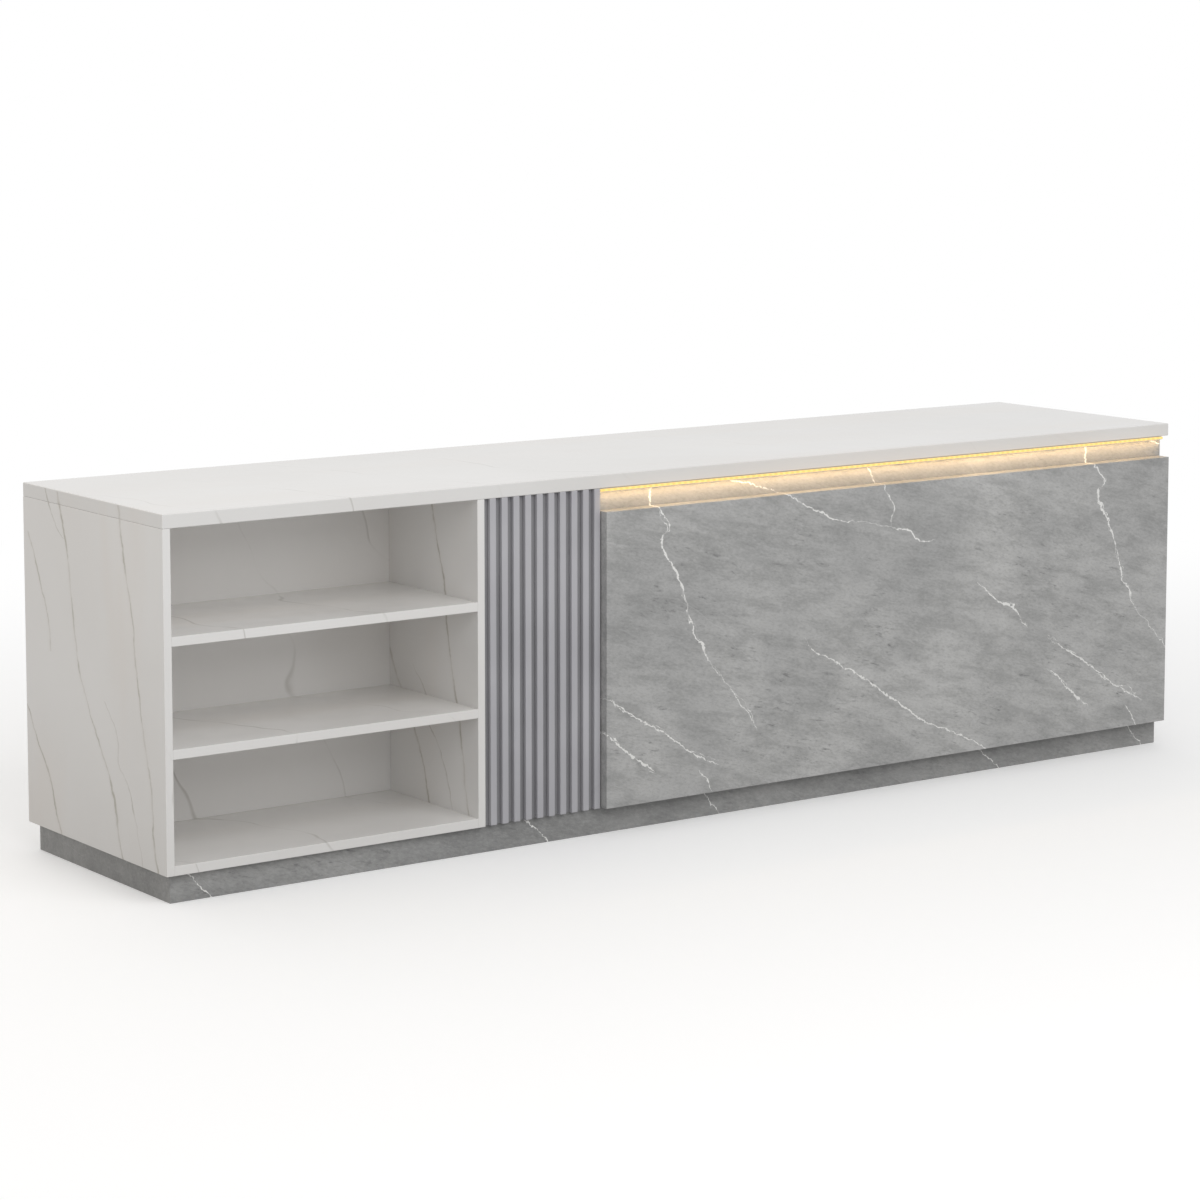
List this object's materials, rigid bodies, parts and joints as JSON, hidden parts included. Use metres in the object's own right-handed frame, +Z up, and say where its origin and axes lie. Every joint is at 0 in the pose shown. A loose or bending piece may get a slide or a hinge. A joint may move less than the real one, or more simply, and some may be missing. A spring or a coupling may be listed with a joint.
{
  "type": "checkout counter",
  "caption": "Long marble-look retail checkout counter with an open display bay, slatted panel, lit recess over a raised front panel, staff drawers, cupboard and keyboard tray.",
  "frame": {"origin": "on the floor, under the centre of the whole counter's bounding box", "axes": "+X runs along the counter towards the marble panel's end, +Y points to the staff side, +Z is up; the customer faces the -Y side"},
  "size_m": [2.8, 0.64, 0.8],
  "materials": {
    "worktop_marble": "high-gloss white marble-effect facing with soft grey-beige veins, eased edges",
    "white_marble_board": "semi-gloss white marble-effect facing with thin beige-grey veins, banded edges",
    "grey_marble_board": "satin mid-grey marble-effect facing with bold white veins, banded edges",
    "slat_lacquer": "satin lavender-grey lacquer",
    "slat_backing": "satin lavender-grey lacquer, a shade darker than the slats",
    "carcass_board": "matt warm white melamine with a fine orange-peel grain",
    "drawer_lining": "matt light grey linen-pattern melamine",
    "handle_steel": "brushed satin nickel",
    "lock_chrome": "polished",
    "runner_zinc": "zinc-plated rolled steel",
    "led_aluminium": "satin anodised extrusion",
    "led_lens": "frosted diffuser, lit warm white",
    "black_plastic": "fine-textured black moulding",
    "lead_sheath": "smooth black sheath"
  },
  "bodies": {
    "counter": {"worktop": "worktop_marble", "left_end_panel": "white_marble_board", "display_right_upright": "white_marble_board", "display_bottom": "white_marble_board", "display_back_panel": "white_marble_board", "shelf_upper": "white_marble_board", "shelf_lower": "white_marble_board", "slat_backing": "slat_backing", "slat_01": "slat_lacquer", "slat_02": "slat_lacquer", "slat_03": "slat_lacquer", "slat_04": "slat_lacquer", "slat_05": "slat_lacquer", "slat_06": "slat_lacquer", "slat_07": "slat_lacquer", "slat_08": "slat_lacquer", "slat_09": "slat_lacquer", "slat_10": "slat_lacquer", "front_marble_panel": "grey_marble_board", "front_panel_core": "grey_marble_board", "carcass_front_board": "grey_marble_board", "module_bottom": "carcass_board", "drawer_partition": "carcass_board", "kneehole_partition": "carcass_board", "right_end_panel": "white_marble_board", "bag_shelf": "carcass_board", "storage_shelf": "carcass_board", "plinth_front": "grey_marble_board", "plinth_rear": "grey_marble_board", "plinth_left": "grey_marble_board", "plinth_right": "grey_marble_board", "led_channel": "led_aluminium", "led_lens": "led_lens", "led_driver": "black_plastic", "led_lead": "lead_sheath", "drawer_top_runner_left": "runner_zinc", "drawer_top_runner_right": "runner_zinc", "drawer_middle_runner_left": "runner_zinc", "drawer_middle_runner_right": "runner_zinc", "drawer_bottom_runner_left": "runner_zinc", "drawer_bottom_runner_right": "runner_zinc", "tray_runner_left": "runner_zinc", "tray_runner_right": "runner_zinc"},
    "drawer_top": {"drawer_top_box": "drawer_lining", "drawer_top_front": "white_marble_board", "drawer_top_handle": "handle_steel"},
    "drawer_middle": {"drawer_middle_box": "drawer_lining", "drawer_middle_front": "white_marble_board", "drawer_middle_handle": "handle_steel"},
    "drawer_bottom": {"drawer_bottom_box": "drawer_lining", "drawer_bottom_front": "white_marble_board", "drawer_bottom_handle": "handle_steel"},
    "cash_lock": {"cash_lock": "lock_chrome"},
    "storage_door_left": {"storage_door_left": "white_marble_board", "storage_handle_left": "handle_steel"},
    "storage_door_right": {"storage_door_right": "white_marble_board", "storage_handle_right": "handle_steel"},
    "keyboard_tray": {"keyboard_tray": "carcass_board"}
  },
  "joints": [
    {"name": "drawer_top_slide", "type": "slide", "parent": "counter", "child": "drawer_top", "axis": [0, 1, 0], "range_m": [0, 0.38]},
    {"name": "drawer_middle_slide", "type": "slide", "parent": "counter", "child": "drawer_middle", "axis": [0, 1, 0], "range_m": [0, 0.38]},
    {"name": "drawer_bottom_slide", "type": "slide", "parent": "counter", "child": "drawer_bottom", "axis": [0, 1, 0], "range_m": [0, 0.38]},
    {"name": "cash_lock_turn", "type": "hinge", "parent": "drawer_top", "child": "cash_lock", "pos_m": [-0.399, 0.29, 0.748], "axis": [0, 1, 0], "range_deg": [0, 90]},
    {"name": "storage_door_left_hinge", "type": "hinge", "parent": "counter", "child": "storage_door_left", "pos_m": [-1.38, 0.2985, 0.414], "axis": [0, 0, 1], "range_deg": [0, 90]},
    {"name": "storage_door_right_hinge", "type": "hinge", "parent": "counter", "child": "storage_door_right", "pos_m": [-0.6365, 0.2985, 0.414], "axis": [0, 0, -1], "range_deg": [0, 85]},
    {"name": "keyboard_tray_slide", "type": "slide", "parent": "counter", "child": "keyboard_tray", "axis": [0, 1, 0], "range_m": [0, 0.25]}
  ]
}
